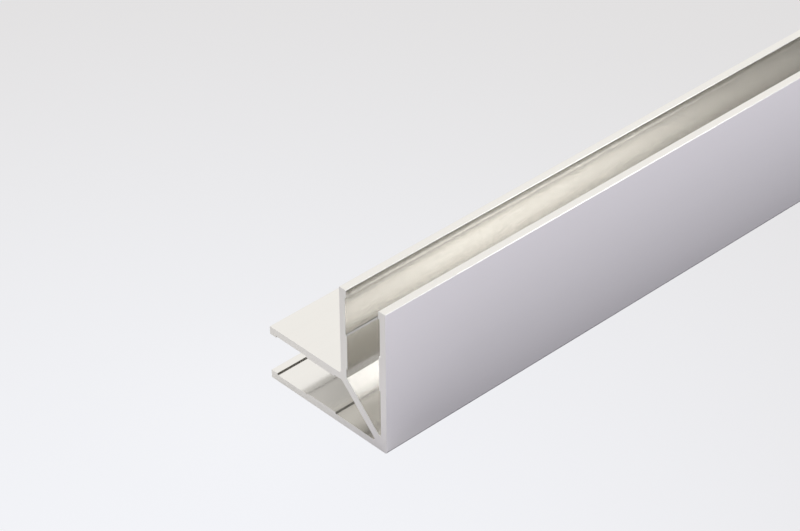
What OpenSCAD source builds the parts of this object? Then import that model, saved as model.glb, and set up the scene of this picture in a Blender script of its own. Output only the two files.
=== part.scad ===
// Extruded aluminium corner profile that holds two panels at a right angle.
// It lies on one outer leg, with the other outer leg upright, and is extruded along Y.

/* [Stock] */
// Length that the stock is cut to
stock_length = 1000; // [100:10:3000]

/* [Legs] */
// Width of an outer leg, from the outer corner to the tips of the legs
leg_width = 30; // [27:0.5:45]
// Wall of a leg where it is thin
wall = 1.4; // [1:0.1:1.8]
// Thickness of the diagonal web between the inner and outer corners
web_thickness = 1.7; // [1:0.1:2.2]

/* [Panel slots] */
// Clear gap between facing lips and pads, the thickness of panel that fits
slot_gap = 8; // [6:0.1:10]
// Height of a lip or pad above the thin wall
grip_height = 0.3; // [0.2:0.05:0.6]
// Length of the lip at the tip of a leg
lip_length = 1.6; // [1:0.1:3]
// Distance from the inner leg's open face to the back of the pads
pad_setback = 1.7; // [1.2:0.1:3]
// Length of a pad, from its back to its front
pad_length = 7.3; // [4:0.1:8]

/* [Edges] */
// Rounding on the two corners of a leg's tip
tip_radius = 0.1; // [0.05:0.05:0.6]
// Rounding on the outer corner, along the edge between the two outer faces
corner_radius = 0.4; // [0.1:0.05:0.8]
// Fillet in the open corner between the two inner legs
inner_fillet = 0.5; // [0.1:0.05:1]
// Fillet on each side of the web, where it runs into a leg
web_fillet = 0.3; // [0.1:0.05:0.6]

/* [Hidden] */
$fn = 48;

// A leg at a lip or a pad, and the open face of the inner leg, both measured from the outer face
grip_thickness = wall + grip_height;
inner_face = slot_gap + 2 * grip_thickness;

// Start of every pad, measured along the leg from the outer corner
pad_back = inner_face + pad_setback;

// Half the web's thickness, measured along a leg that it meets at 45 degrees
web_half = web_thickness / 2 / sin(45);

// Share of its radius by which an arc is cut past the sides that it runs into, to meet them in a clean edge
arc_overlap = 0.002;

// Sliver between two straight sides that meet at the origin and an arc that touches both.
// One side lies along +X and the other is turned from it by the given angle.
// It fills an inside corner when it is added, and rounds an outside corner when it is cut away.
// Behind the origin it reaches past both sides, into what it is added to or out of what it cuts.
module corner_sliver(angle, radius) {
    side = radius / tan(angle / 2);
    behind = -radius * [cos(angle / 2), sin(angle / 2)];
    difference() {
        polygon([behind, [side, 0], [side, radius], side * [cos(angle), sin(angle)]]);
        translate([side, radius]) circle(r = radius * (1 + arc_overlap));
    }
}

// One leg along +X with its plain face on Y = 0, and its lip and pad, both square, raised on the other face.
module leg(root) {
    difference() {
        union() {
            translate([root, 0]) square([leg_width - root, wall]);
            translate([leg_width - lip_length, 0]) square([lip_length, grip_thickness]);
            translate([pad_back, 0]) square([pad_length, grip_thickness]);
        }
        translate([leg_width, 0]) rotate(90) corner_sliver(90, tip_radius);
        translate([leg_width, grip_thickness]) rotate(180) corner_sliver(90, tip_radius);
    }
}

// The outer and inner leg on either side of one slot, with the fillets where the web meets them.
module slot_side() {
    leg(0);
    translate([0, inner_face]) mirror([0, 1]) leg(inner_face - wall);
    translate([wall + web_half, wall]) corner_sliver(45, web_fillet);
    translate([inner_face - wall + web_half, inner_face - wall]) rotate(225) corner_sliver(135, web_fillet);
}

// Strip along the diagonal, with its ends let into the middle of the outer and inner walls.
module web() {
    start = wall / 2;
    end = inner_face - wall / 2;
    polygon([
        [start, start],
        [start + web_half, start],
        [end + web_half, end],
        [end, end],
        [end, end + web_half],
        [start, start + web_half]
    ]);
}

// The whole section, outer corner at the origin and legs along +X and +Y, alike about the diagonal.
module section() {
    difference() {
        union() {
            slot_side();
            mirror([1, -1]) slot_side();
            web();
            translate([inner_face, inner_face]) corner_sliver(90, inner_fillet);
        }
        corner_sliver(90, corner_radius);
    }
}

// The extrusion, with its outer corner at +X on the floor and its open side towards -X and up.
module corner_profile() {
    color("gainsboro")
        rotate([90, 0, 0])
        linear_extrude(height = stock_length, center = true)
        translate([leg_width / 2, 0])
        mirror([1, 0])
        section();
}

corner_profile();
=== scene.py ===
import math

import bpy
import numpy as np
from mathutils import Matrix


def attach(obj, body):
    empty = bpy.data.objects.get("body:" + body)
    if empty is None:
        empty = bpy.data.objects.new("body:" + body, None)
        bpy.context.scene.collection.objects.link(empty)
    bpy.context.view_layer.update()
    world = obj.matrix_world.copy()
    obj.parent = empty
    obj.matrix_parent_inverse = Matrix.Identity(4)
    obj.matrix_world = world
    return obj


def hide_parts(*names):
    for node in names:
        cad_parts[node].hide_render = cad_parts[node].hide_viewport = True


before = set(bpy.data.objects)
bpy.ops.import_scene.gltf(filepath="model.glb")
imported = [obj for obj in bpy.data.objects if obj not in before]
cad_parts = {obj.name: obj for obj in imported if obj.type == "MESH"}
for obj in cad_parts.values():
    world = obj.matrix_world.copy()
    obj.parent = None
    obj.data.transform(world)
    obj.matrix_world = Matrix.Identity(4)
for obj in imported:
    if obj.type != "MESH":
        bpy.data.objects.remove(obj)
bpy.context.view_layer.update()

# The profile is one length of aluminium, pressed hot through a die that forms its whole section at once.
# Two outer and two inner legs meet on a diagonal web, and their lips and pads grip a panel in either slot.
# It is raw stock with a satin anodised skin, and its ends are left as the saw cut them.
STOCK_LENGTH = 1.0
LEG_WIDTH = 0.030
WALL = 0.0014
WEB_THICKNESS = 0.0017
SLOT_GAP = 0.008
GRIP_HEIGHT = 0.0003
LIP_LENGTH = 0.0016
PAD_SETBACK = 0.0017
PAD_LENGTH = 0.0073
TIP_RADIUS = 0.0001
CORNER_RADIUS = 0.0004
INNER_FILLET = 0.0005
WEB_FILLET = 0.0003
PAD_FRONT_RUN = 0.0001
STEP_RADIUS = 0.00004
SAW_BREAK = 0.00003
# Shares of painted shade: lines of shadow at the lips and pad fronts, and a darker painted contact shadow on
# the bottom outer edge.
LIP_PAINTED_SHADE = 0.75
INNER_FRONT_PAINTED_SHADE = 0.85
OUTER_EDGE_PAINTED_SHADE = 2
ARC_POINTS = 8
LENGTH_STEPS = 40


def section_corners():
    """Corners of the section, and the radius and painted shade of each, anticlockwise as seen along +Y.

    One side of the diagonal is listed as distance along a leg and distance in from its outer face. The
    other side is the same list backwards with the two distances exchanged.
    """
    grip = WALL + GRIP_HEIGHT
    inner = SLOT_GAP + 2 * grip
    lip = LEG_WIDTH - LIP_LENGTH
    back = inner + PAD_SETBACK
    front = back + PAD_LENGTH
    web_half = WEB_THICKNESS / math.sqrt(2)
    side = np.array([
        (LEG_WIDTH, 0, TIP_RADIUS, 0),
        (LEG_WIDTH, grip, TIP_RADIUS, 0),
        (lip, grip, STEP_RADIUS, LIP_PAINTED_SHADE),
        (lip, WALL, STEP_RADIUS, LIP_PAINTED_SHADE),
        (front, WALL, STEP_RADIUS, 0),
        (front, grip, STEP_RADIUS, 0),
        (back, grip, STEP_RADIUS, 1),
        (back, WALL, STEP_RADIUS, 1),
        (WALL + web_half, WALL, WEB_FILLET, 0),
        (inner - WALL + web_half, inner - WALL, WEB_FILLET, 0),
        (back, inner - WALL, STEP_RADIUS, 1),
        (back, inner - grip, STEP_RADIUS, 1),
        (front - PAD_FRONT_RUN, inner - grip, STEP_RADIUS, INNER_FRONT_PAINTED_SHADE),
        (front, inner - WALL, STEP_RADIUS, INNER_FRONT_PAINTED_SHADE),
        (lip, inner - WALL, STEP_RADIUS, LIP_PAINTED_SHADE),
        (lip, inner - grip, STEP_RADIUS, LIP_PAINTED_SHADE),
        (LEG_WIDTH, inner - grip, TIP_RADIUS, 0),
        (LEG_WIDTH, inner, TIP_RADIUS, 0),
    ])
    # The outer corner carries a painted contact shadow, darker than the painted shade at the steps.
    outer_corner = (0, 0, CORNER_RADIUS, OUTER_EDGE_PAINTED_SHADE)
    open_corner = (inner, inner, INNER_FILLET, 0)
    loop = np.vstack([outer_corner, side, open_corner, side[::-1, [1, 0, 2, 3]]])[::-1]
    return np.stack([LEG_WIDTH / 2 - loop[:, 0], loop[:, 1]], axis=1), loop[:, 2], loop[:, 3]


def rounded_outline(corners, radii):
    """Points round a closed outline whose corners are all arcs, and the outward normal at each point.

    A side of direction d is followed by one that turns from it by an angle t, left being positive. The
    arc between them starts at radius * tan(|t| / 2) before the corner. Its centre lies a radius to the left
    of d where t is left, and to the right where it is right, and the spoke out to the arc turns by t.
    """
    along = corners - np.roll(corners, 1, axis=0)
    along /= np.linalg.norm(along, axis=1, keepdims=True)
    onward = np.roll(along, -1, axis=0)
    cross = along[:, 0] * onward[:, 1] - along[:, 1] * onward[:, 0]
    turn = np.arctan2(cross, (along * onward).sum(axis=1))
    hand = np.sign(turn)[:, None]
    first_spoke = np.stack([along[:, 1], -along[:, 0]], axis=1) * hand
    start = corners - along * (radii * np.tan(np.abs(turn) / 2))[:, None]
    centre = start - first_spoke * radii[:, None]
    angle = turn[:, None] * np.linspace(0, 1, ARC_POINTS)
    across = first_spoke[:, :1]
    up = first_spoke[:, 1:]
    spoke_across = across * np.cos(angle) - up * np.sin(angle)
    spoke_up = across * np.sin(angle) + up * np.cos(angle)
    spoke = np.stack([spoke_across, spoke_up], axis=-1)
    points = centre[:, None] + spoke * radii[:, None, None]
    normals = spoke * hand[:, None]
    return points.reshape(-1, 2), normals.reshape(-1, 2)


def painted_shade_faces(corners, painted_shade):
    """Painted shade of the faces from each outline point to the next, along each corner's arc and the side
    after.

    The painted shade darkens the lips, the pad steps and the bottom outer edge, where shadow falls. An arc
    has its corner's painted shade. A side shorter than twice the grip height is a step, with the lesser
    painted shade of its two corners. A longer side has none.
    """
    length = np.linalg.norm(np.roll(corners, -1, axis=0) - corners, axis=1)
    face_shade = np.repeat(painted_shade[:, None], ARC_POINTS, axis=1)
    face_shade[:, -1] = np.minimum(painted_shade, np.roll(painted_shade, -1)) * (length < 2 * GRIP_HEIGHT)
    return face_shade.reshape(-1)


def extruded_mesh(name, points, normals, face_shade):
    """Mesh of the outline carried along Y, closed by a flat face at either end.

    A ring at station y is the outline drawn in along its normals by that station's inset, which is the saw
    break at the two ends and nothing between them. The shading normal is the outline's own, leaning out by
    45 degrees on the broken edges, and square to the cut on the ends. Each strip of faces along Y carries
    its share of painted shade.
    """
    half = STOCK_LENGTH / 2
    between = np.linspace(SAW_BREAK - half, half - SAW_BREAK, LENGTH_STEPS + 1)
    station = np.concatenate([[-half], between, [half]])
    inset = np.zeros(len(station))
    inset[[0, -1]] = SAW_BREAK
    lean = np.zeros(len(station) - 1)
    lean[[0, -1]] = -1, 1
    count = len(points)
    ring = points[None] - normals[None] * inset[:, None, None]
    depth = np.broadcast_to(station[:, None], ring.shape[:2])
    vertices = np.stack([ring[..., 0], depth, ring[..., 1]], axis=-1).reshape(-1, 3)

    here = np.arange(count)
    ahead = np.roll(here, -1)
    quad = np.stack([here, here + count, ahead + count, ahead], axis=1)
    quads = (quad[None] + count * np.arange(len(lean))[:, None, None]).reshape(-1, 4)
    far = count * (len(station) - 1)
    ends = [here.tolist(), (here[::-1] + far).tolist()]

    outward = normals[quad % count]
    parts = np.broadcast_arrays(outward[None, ..., 0], lean[:, None, None], outward[None, ..., 1])
    sides = np.stack(parts, axis=-1).reshape(-1, 3)
    sides = sides / np.linalg.norm(sides, axis=1, keepdims=True)
    caps = np.repeat([(0, -1, 0), (0, 1, 0)], count, axis=0)

    mesh = bpy.data.meshes.new(name)
    mesh.from_pydata(vertices.tolist(), [], quads.tolist() + ends)
    mesh.polygons.foreach_set("use_smooth", np.ones(len(mesh.polygons), dtype=bool))
    sawn = np.zeros(len(mesh.polygons), dtype=np.int32)
    sawn[:count] = 1
    sawn[-count - 2:] = 1
    mesh.polygons.foreach_set("material_index", sawn)
    # Share of painted shade for each face, for the material to darken by.
    painted_shade = np.zeros(len(mesh.polygons), dtype=np.float32)
    painted_shade[:-2] = np.tile(face_shade, len(lean))
    mesh.attributes.new("painted_step_shade", "FLOAT", "FACE").data.foreach_set("value", painted_shade)
    mesh.normals_split_custom_set(np.vstack([sides, caps]).tolist())
    return mesh


class Shade:
    """A shader socket. Arithmetic on it adds Math nodes, and add() puts in a node of any other kind."""

    def __init__(self, tree, socket=None):
        self.tree = tree
        self.socket = socket

    def add(self, kind, settings, inputs, output=0):
        """Adds a node, makes its settings, fills its inputs with values or links, and gives an output."""
        node = self.tree.nodes.new(kind)
        for setting, value in settings.items():
            setattr(node, setting, value)
        for name, value in inputs.items():
            if isinstance(value, Shade):
                self.tree.links.new(value.socket, node.inputs[name])
            else:
                node.inputs[name].default_value = value
        return Shade(self.tree, node.outputs[output]) if node.outputs else None

    def maths(self, operation, first, second):
        return self.add("ShaderNodeMath", {"operation": operation}, {0: first, 1: second})

    def __add__(self, other):
        return self.maths("ADD", self, other)

    def __radd__(self, other):
        return self.maths("ADD", other, self)

    def __sub__(self, other):
        return self.maths("SUBTRACT", self, other)

    def __rsub__(self, other):
        return self.maths("SUBTRACT", other, self)

    def __mul__(self, other):
        return self.maths("MULTIPLY", self, other)

    def __rmul__(self, other):
        return self.maths("MULTIPLY", other, self)


def new_material(name):
    """An empty node material and the wrapper that adds nodes to it."""
    material = bpy.data.materials.new(name)
    material.use_nodes = True
    material.node_tree.nodes.clear()
    return material, Shade(material.node_tree)


SATIN_LIGHT = (0.815, 0.807, 0.788, 1)
SATIN_DARK = (0.785, 0.777, 0.758, 1)
# Colour of the painted shade at the lips, the pad steps and the bottom outer edge.
PAINTED_SHADE_COLOUR = (0.48, 0.475, 0.465, 1)
SATIN_ROUGHNESS = 0.12
DIE_LINES_PER_METRE = (2600, 2.5, 2600)
DIE_BANDS_PER_METRE = (240, 0.8, 240)
LINE_SHARE_OF_TONE = 0.5
BAND_ROUGHNESS = 0.05
LINE_ROUGHNESS = 0.03
LINE_RELIEF = 0.00001
LINE_RELIEF_STRENGTH = 0.1


def satin_anodised():
    """Anodised skin, with long noise along Y for the die's fine lines and broader bands.

    The lines and bands vary the tone and the gloss, and the lines are in relief too. The colour then goes
    towards a painted shade by the face's share of it, and past it where the share is over 1. This paints
    lines of shade at the lips and pad steps, and a contact shadow along the bottom outer edge.
    """
    material, shade = new_material("satin_anodised")
    place = shade.add("ShaderNodeTexCoord", {}, {}, "Object")
    line_place = shade.add("ShaderNodeMapping", {}, {"Vector": place, "Scale": DIE_LINES_PER_METRE})
    band_place = shade.add("ShaderNodeMapping", {}, {"Vector": place, "Scale": DIE_BANDS_PER_METRE})
    lines = shade.add("ShaderNodeTexNoise", {}, {"Vector": line_place, "Scale": 1, "Detail": 2})
    bands = shade.add("ShaderNodeTexNoise", {}, {"Vector": band_place, "Scale": 1, "Detail": 2})
    tone = lines * LINE_SHARE_OF_TONE + bands * (1 - LINE_SHARE_OF_TONE)
    colour = shade.add(
        "ShaderNodeMix",
        {"data_type": "RGBA"},
        {"Factor": tone, 6: SATIN_DARK, 7: SATIN_LIGHT},
        2,
    )
    # Painted shade at the lips, pad steps and bottom outer edge.
    painted_shade_share = shade.add("ShaderNodeAttribute", {"attribute_name": "painted_step_shade"}, {}, "Fac")
    colour = shade.add(
        "ShaderNodeMix",
        {"data_type": "RGBA", "clamp_factor": False},
        {"Factor": painted_shade_share, 6: colour, 7: PAINTED_SHADE_COLOUR},
        2,
    )
    relief = shade.add(
        "ShaderNodeBump",
        {},
        {"Strength": LINE_RELIEF_STRENGTH, "Distance": LINE_RELIEF, "Height": lines},
    )
    skin = shade.add("ShaderNodeBsdfPrincipled", {}, {
        "Base Color": colour,
        "Metallic": 1,
        "Roughness": SATIN_ROUGHNESS + BAND_ROUGHNESS * (bands - 0.5) + LINE_ROUGHNESS * (lines - 0.5),
        "Normal": relief,
    })
    shade.add("ShaderNodeOutputMaterial", {}, {"Surface": skin})
    return material


SAWN_LIGHT = (0.725, 0.715, 0.70, 1)
SAWN_DARK = (0.635, 0.625, 0.61, 1)
SAW_CENTRE = (0.11, 0, 0.17)
SAW_MARKS_PER_METRE = 3500
SAWN_ROUGHNESS = 0.56
MARK_ROUGHNESS = 0.16
MARK_RELIEF = 0.00002
MARK_RELIEF_STRENGTH = 0.25


def sawn_aluminium():
    """Cut metal with marks along arcs, as noise on the distance from the saw's centre.

    The marks are in tone, gloss and relief.
    """
    material, shade = new_material("sawn_aluminium")
    place = shade.add("ShaderNodeTexCoord", {}, {}, "Object")
    flat = shade.add("ShaderNodeVectorMath", {"operation": "MULTIPLY"}, {0: place, 1: (1, 0, 1)})
    reach = shade.add("ShaderNodeVectorMath", {"operation": "DISTANCE"}, {0: flat, 1: SAW_CENTRE}, "Value")
    marks = shade.add(
        "ShaderNodeTexNoise",
        {"noise_dimensions": "1D"},
        {"W": reach * SAW_MARKS_PER_METRE, "Scale": 1, "Detail": 3},
    )
    colour = shade.add(
        "ShaderNodeMix",
        {"data_type": "RGBA"},
        {"Factor": marks, 6: SAWN_DARK, 7: SAWN_LIGHT},
        2,
    )
    relief = shade.add(
        "ShaderNodeBump",
        {},
        {"Strength": MARK_RELIEF_STRENGTH, "Distance": MARK_RELIEF, "Height": marks},
    )
    cut = shade.add("ShaderNodeBsdfPrincipled", {}, {
        "Base Color": colour,
        "Metallic": 1,
        "Roughness": SAWN_ROUGHNESS + MARK_ROUGHNESS * marks,
        "Normal": relief,
    })
    shade.add("ShaderNodeOutputMaterial", {}, {"Surface": cut})
    return material


corners, radii, painted_shade = section_corners()
points, normals = rounded_outline(corners, radii)
profile_mesh = extruded_mesh("aluminium_profile", points, normals, painted_shade_faces(corners, painted_shade))
profile_mesh.materials.append(satin_anodised())
profile_mesh.materials.append(sawn_aluminium())
profile = bpy.data.objects.new("aluminium_profile", profile_mesh)
bpy.context.collection.objects.link(profile)
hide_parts("corner_profile")
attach(profile, "root")

# The floor is a wide pale sheet that the profile lies on, part of the studio and not of the object.
# The camera sees it glow, a painted pool of light brightest by the near end and dimmer far off, with hardly
# a shadow. What the profile mirrors is a matt sheet in the same place, which takes the shade close beside
# the legs.
FLOOR_HALF = 12.0
SEEN_LEVEL = -0.0001
MIRRORED_LEVEL = -0.00002
# Painted pool of light on the seen floor: its glow close to the near end and far from it.
SEEN_NEAR = (0.904, 0.914, 0.951, 1)
SEEN_FAR = (0.756, 0.744, 0.745, 1)
SEEN_CENTRE = (0.02, -0.56, 0.0)
SEEN_REACH = (0.0, 0.25)
SEEN_SHADE = (0.03, 0.03, 0.03, 1)
# Painted tint of light on the mirrored sheet: warm where the light falls warm on the left, cool on the
# right.
MIRRORED_LEFT = (0.845, 0.83, 0.80, 1)
MIRRORED_RIGHT = (0.89, 0.866, 0.944, 1)
MIRRORED_BLEND = (-0.015, 0.015)
# Painted pool of light: a glow in the mirrored sheet before the near end, lighting the sawn end's
# reflection.
END_GLOW = (0.40, 0.395, 0.38, 1)
NO_GLOW = (0, 0, 0, 1)
END_GLOW_CENTRE = (-0.010, -0.505, 0.0)
END_GLOW_REACH = (0.005, 0.035)


def seen_floor():
    """Glowing sheet, a painted pool of light that dims smoothly with the distance from the near end.

    It is a little matt too, for a faint shadow.
    """
    material, shade = new_material("seen_floor")
    place = shade.add("ShaderNodeTexCoord", {}, {}, "Object")
    reach = shade.add(
        "ShaderNodeVectorMath",
        {"operation": "DISTANCE"},
        {0: place, 1: SEEN_CENTRE},
        "Value",
    )
    fade = shade.add(
        "ShaderNodeMapRange",
        {"interpolation_type": "SMOOTHSTEP"},
        {"Value": reach, "From Min": SEEN_REACH[0], "From Max": SEEN_REACH[1]},
    )
    glow = shade.add("ShaderNodeMix", {"data_type": "RGBA"}, {"Factor": fade, 6: SEEN_NEAR, 7: SEEN_FAR}, 2)
    sheet = shade.add("ShaderNodeBsdfPrincipled", {}, {
        "Base Color": SEEN_SHADE,
        "Roughness": 1,
        "Specular IOR Level": 0,
        "Emission Color": glow,
        "Emission Strength": 1 - SEEN_SHADE[0],
    })
    shade.add("ShaderNodeOutputMaterial", {}, {"Surface": sheet})
    return material


def mirrored_floor():
    """Matt sheet with a painted tint of light, warm to the left of the profile and cool to the right.

    A painted pool of light, a glow in the sheet, lies before the near end and dims smoothly with the
    distance from its centre.
    """
    material, shade = new_material("mirrored_floor")
    place = shade.add("ShaderNodeTexCoord", {}, {}, "Object")
    across = shade.add("ShaderNodeSeparateXYZ", {}, {"Vector": place}, "X")
    side = shade.add(
        "ShaderNodeMapRange",
        {"interpolation_type": "SMOOTHSTEP"},
        {"Value": across, "From Min": MIRRORED_BLEND[0], "From Max": MIRRORED_BLEND[1]},
    )
    colour = shade.add(
        "ShaderNodeMix",
        {"data_type": "RGBA"},
        {"Factor": side, 6: MIRRORED_LEFT, 7: MIRRORED_RIGHT},
        2,
    )
    reach = shade.add(
        "ShaderNodeVectorMath",
        {"operation": "DISTANCE"},
        {0: place, 1: END_GLOW_CENTRE},
        "Value",
    )
    fade = shade.add(
        "ShaderNodeMapRange",
        {"interpolation_type": "SMOOTHSTEP"},
        {"Value": reach, "From Min": END_GLOW_REACH[0], "From Max": END_GLOW_REACH[1]},
    )
    glow = shade.add("ShaderNodeMix", {"data_type": "RGBA"}, {"Factor": fade, 6: END_GLOW, 7: NO_GLOW}, 2)
    sheet = shade.add("ShaderNodeBsdfPrincipled", {}, {
        "Base Color": colour,
        "Roughness": 1,
        "Specular IOR Level": 0,
        "Emission Color": glow,
        "Emission Strength": 1,
    })
    shade.add("ShaderNodeOutputMaterial", {}, {"Surface": sheet})
    return material


def floor_sheet(name, level, material):
    """Square sheet about the origin at a level."""
    corners = np.array([(-1, -1), (1, -1), (1, 1), (-1, 1)]) * FLOOR_HALF
    mesh = bpy.data.meshes.new(name)
    mesh.from_pydata(np.column_stack([corners, np.full(4, level)]).tolist(), [], [(0, 1, 2, 3)])
    mesh.materials.append(material)
    sheet = bpy.data.objects.new(name, mesh)
    bpy.context.collection.objects.link(sheet)
    return sheet


seen = floor_sheet("seen_floor", SEEN_LEVEL, seen_floor())
seen.visible_diffuse = False
seen.visible_glossy = False
seen.visible_shadow = False
mirrored = floor_sheet("mirrored_floor", MIRRORED_LEVEL, mirrored_floor())
mirrored.visible_camera = False

# The light is a pale room with four soft boxes.
# Behind the profile, a bright one on the right shines down into the slots, a dim warm one fills the left and
# a small one high up draws the edges of the upright legs. One in front lights the sawn end.
ROOM_COLOUR = (0.98, 0.98, 1.0, 1)
ROOM_STRENGTH = 0.86

room = bpy.data.worlds.new("pale_room")
room.use_nodes = True
backdrop = room.node_tree.nodes["Background"]
backdrop.inputs["Color"].default_value = ROOM_COLOUR
backdrop.inputs["Strength"].default_value = ROOM_STRENGTH
bpy.context.scene.world = room


def soft_box(name, aim, direction, distance, width, height, colour, radiance):
    """Rectangular light at a distance along a direction from the point that it faces.

    Its power is the radiance times its area times pi, as for any even matt source.
    """
    direction = np.array(direction) / np.linalg.norm(direction)
    lamp = bpy.data.lights.new(name, "AREA")
    lamp.shape = "RECTANGLE"
    lamp.size = width
    lamp.size_y = height
    lamp.color = colour
    lamp.energy = radiance * width * height * math.pi
    box = bpy.data.objects.new(name, lamp)
    box.location = np.array(aim) + direction * distance
    tilt = math.acos(direction[2])
    bearing = math.atan2(direction[1], direction[0])
    box.rotation_euler = (tilt, 0, bearing + math.pi / 2)
    box.visible_camera = False
    bpy.context.collection.objects.link(box)


# Light goes to and fro between the facing legs many times before it leaves a slot.
SLOT_BOUNCES = 20
bpy.context.scene.cycles.max_bounces = SLOT_BOUNCES
bpy.context.scene.cycles.glossy_bounces = SLOT_BOUNCES
bpy.context.scene.cycles.caustics_reflective = False

LIT_POINT = (0.01, -0.45, 0.03)
soft_box("right_soft_box", LIT_POINT, (0.565, 0.589, 0.578), 1.4, 0.225, 0.60, (1, 1, 1), 3.6)
soft_box("left_soft_box", LIT_POINT, (-0.60, 0.56, 0.58), 1.6, 1.4, 1.1, (1, 0.91, 0.68), 0.22)
soft_box("back_soft_box", LIT_POINT, (0.0, 0.625, 0.78), 1.5, 0.35, 0.20, (1, 1, 1), 4.6)
soft_box("front_soft_box", LIT_POINT, (-0.55, -0.75, 0.45), 1.5, 1.0, 0.8, (1, 0.98, 0.96), 1.5)

# The camera stands where the photographer stood, a little right of the near end and above it.
CAMERA_PLACE = (0.29350, -0.75770, 0.31587)
CAMERA_TURN_DEGREES = (54.007, 0.360, 46.575)
CAMERA_LENS_MM = 128.46
SENSOR_WIDTH_MM = 36.0

lens = bpy.data.cameras.new("camera")
lens.sensor_width = SENSOR_WIDTH_MM
lens.sensor_fit = "HORIZONTAL"
lens.lens = CAMERA_LENS_MM
camera = bpy.data.objects.new("camera", lens)
camera.location = CAMERA_PLACE
camera.rotation_euler = [math.radians(degrees) for degrees in CAMERA_TURN_DEGREES]
bpy.context.collection.objects.link(camera)
bpy.context.scene.camera = camera
bpy.context.scene.view_settings.view_transform = "Standard"
